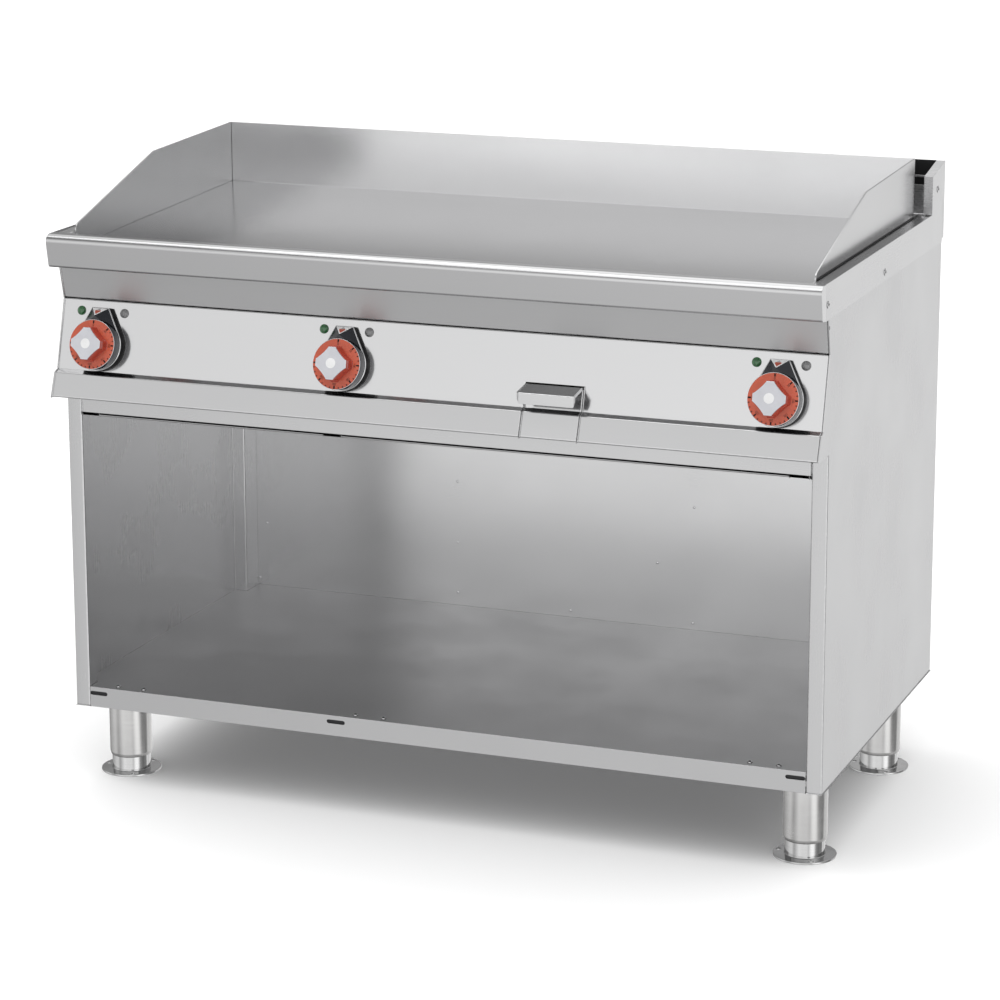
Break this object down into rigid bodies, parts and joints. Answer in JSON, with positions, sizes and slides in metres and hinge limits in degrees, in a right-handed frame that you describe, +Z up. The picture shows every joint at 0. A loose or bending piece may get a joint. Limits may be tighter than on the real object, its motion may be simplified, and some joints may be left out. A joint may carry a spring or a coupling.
{
  "type": "flat top griddle",
  "caption": "Free-standing electric flat top griddle: sloping smooth plate with splash guards, knob panel, grease drawer and open cabinet on levelling feet.",
  "frame": {"origin": "on the floor, under the middle of the outer box", "axes": "+X to the right along the front, +Y from the front to the back, +Z up"},
  "size_m": [1.2, 0.7253, 0.967],
  "materials": {
    "stainless_polished": "polished",
    "stainless_satin": "satin, fine brushed grain",
    "plate_steel": "smooth ground and polished cooking surface",
    "fascia_steel": "semi-gloss, fine brushed grain",
    "inner_steel": "mill finish",
    "tube_steel": "polished tube",
    "foot_steel": "turned, satin",
    "element_sheath": "heat darkened",
    "insulation_wool": "matt ceramic wool",
    "chrome_trim": "mirror chrome",
    "dial_orange": "glossy moulded",
    "cap_silver": "silver satin",
    "spindle_steel": "turned",
    "thermostat_black": "moulded",
    "lens_green": "translucent green lens",
    "lens_clear": "clear lens over a grey lamp",
    "gland_black": "moulded nylon",
    "terminal_ivory": "moulded"
  },
  "bodies": {
    "root": {"worktop_front_rail": "stainless_polished", "worktop_side_rail_left": "stainless_satin", "worktop_side_rail_right": "stainless_satin", "splash_left": "stainless_satin", "splash_right": "stainless_satin", "splash_rear": "stainless_satin", "riser_shell": "stainless_satin", "riser_front_wall": "stainless_satin", "side_panel_left": "stainless_satin", "side_panel_right": "stainless_satin", "back_panel": "stainless_satin", "rear_cover": "stainless_satin", "top_rail": "stainless_satin", "cooking_plate": "plate_steel", "upper_fascia": "fascia_steel", "control_panel": "fascia_steel", "drain_chute": "inner_steel", "drawer_guide": "inner_steel", "heat_shield": "inner_steel", "floor_shelf": "inner_steel", "leg_front_left": "tube_steel", "leg_front_right": "tube_steel", "leg_rear_left": "tube_steel", "leg_rear_right": "tube_steel", "heating_element_left": "element_sheath", "heating_element_centre": "element_sheath", "heating_element_right": "element_sheath", "insulation_board": "insulation_wool", "knob_bezel_left": "chrome_trim", "knob_bezel_centre": "chrome_trim", "knob_bezel_right": "chrome_trim", "thermostat_left": "thermostat_black", "thermostat_centre": "thermostat_black", "thermostat_right": "thermostat_black", "lamp_green_left": "lens_green", "lamp_green_centre": "lens_green", "lamp_green_right": "lens_green", "lamp_clear_left": "lens_clear", "lamp_clear_centre": "lens_clear", "lamp_clear_right": "lens_clear", "cable_gland": "gland_black", "terminal_block": "terminal_ivory"},
    "knob_left": {"knob_skirt_left": "chrome_trim", "knob_dial_left": "dial_orange", "knob_cap_left": "cap_silver", "knob_spindle_left": "spindle_steel"},
    "knob_centre": {"knob_skirt_centre": "chrome_trim", "knob_dial_centre": "dial_orange", "knob_cap_centre": "cap_silver", "knob_spindle_centre": "spindle_steel"},
    "knob_right": {"knob_skirt_right": "chrome_trim", "knob_dial_right": "dial_orange", "knob_cap_right": "cap_silver", "knob_spindle_right": "spindle_steel"},
    "drawer": {"drawer_front": "fascia_steel", "drawer_tray": "inner_steel"},
    "leveller_front_left": {"foot_front_left": "foot_steel"},
    "leveller_front_right": {"foot_front_right": "foot_steel"},
    "leveller_rear_left": {"foot_rear_left": "foot_steel"},
    "leveller_rear_right": {"foot_rear_right": "foot_steel"}
  },
  "joints": [
    {"name": "knob_turn_left", "type": "hinge", "parent": "root", "child": "knob_left", "pos_m": [-0.531, -0.30836, 0.705], "axis": [0, -0.9656, 0.26], "range_deg": [0, 270]},
    {"name": "knob_turn_centre", "type": "hinge", "parent": "root", "child": "knob_centre", "pos_m": [-0.131, -0.30836, 0.705], "axis": [0, -0.9656, 0.26], "range_deg": [0, 270]},
    {"name": "knob_turn_right", "type": "hinge", "parent": "root", "child": "knob_right", "pos_m": [0.531, -0.30836, 0.705], "axis": [0, -0.9656, 0.26], "range_deg": [0, 270]},
    {"name": "drawer_slide", "type": "slide", "parent": "root", "child": "drawer", "axis": [0, -1, 0], "range_m": [0, 0.38]},
    {"name": "level_front_left", "type": "slide", "parent": "root", "child": "leveller_front_left", "axis": [0, 0, -1], "range_m": [0, 0.035]},
    {"name": "level_front_right", "type": "slide", "parent": "root", "child": "leveller_front_right", "axis": [0, 0, -1], "range_m": [0, 0.035]},
    {"name": "level_rear_left", "type": "slide", "parent": "root", "child": "leveller_rear_left", "axis": [0, 0, -1], "range_m": [0, 0.035]},
    {"name": "level_rear_right", "type": "slide", "parent": "root", "child": "leveller_rear_right", "axis": [0, 0, -1], "range_m": [0, 0.035]}
  ]
}
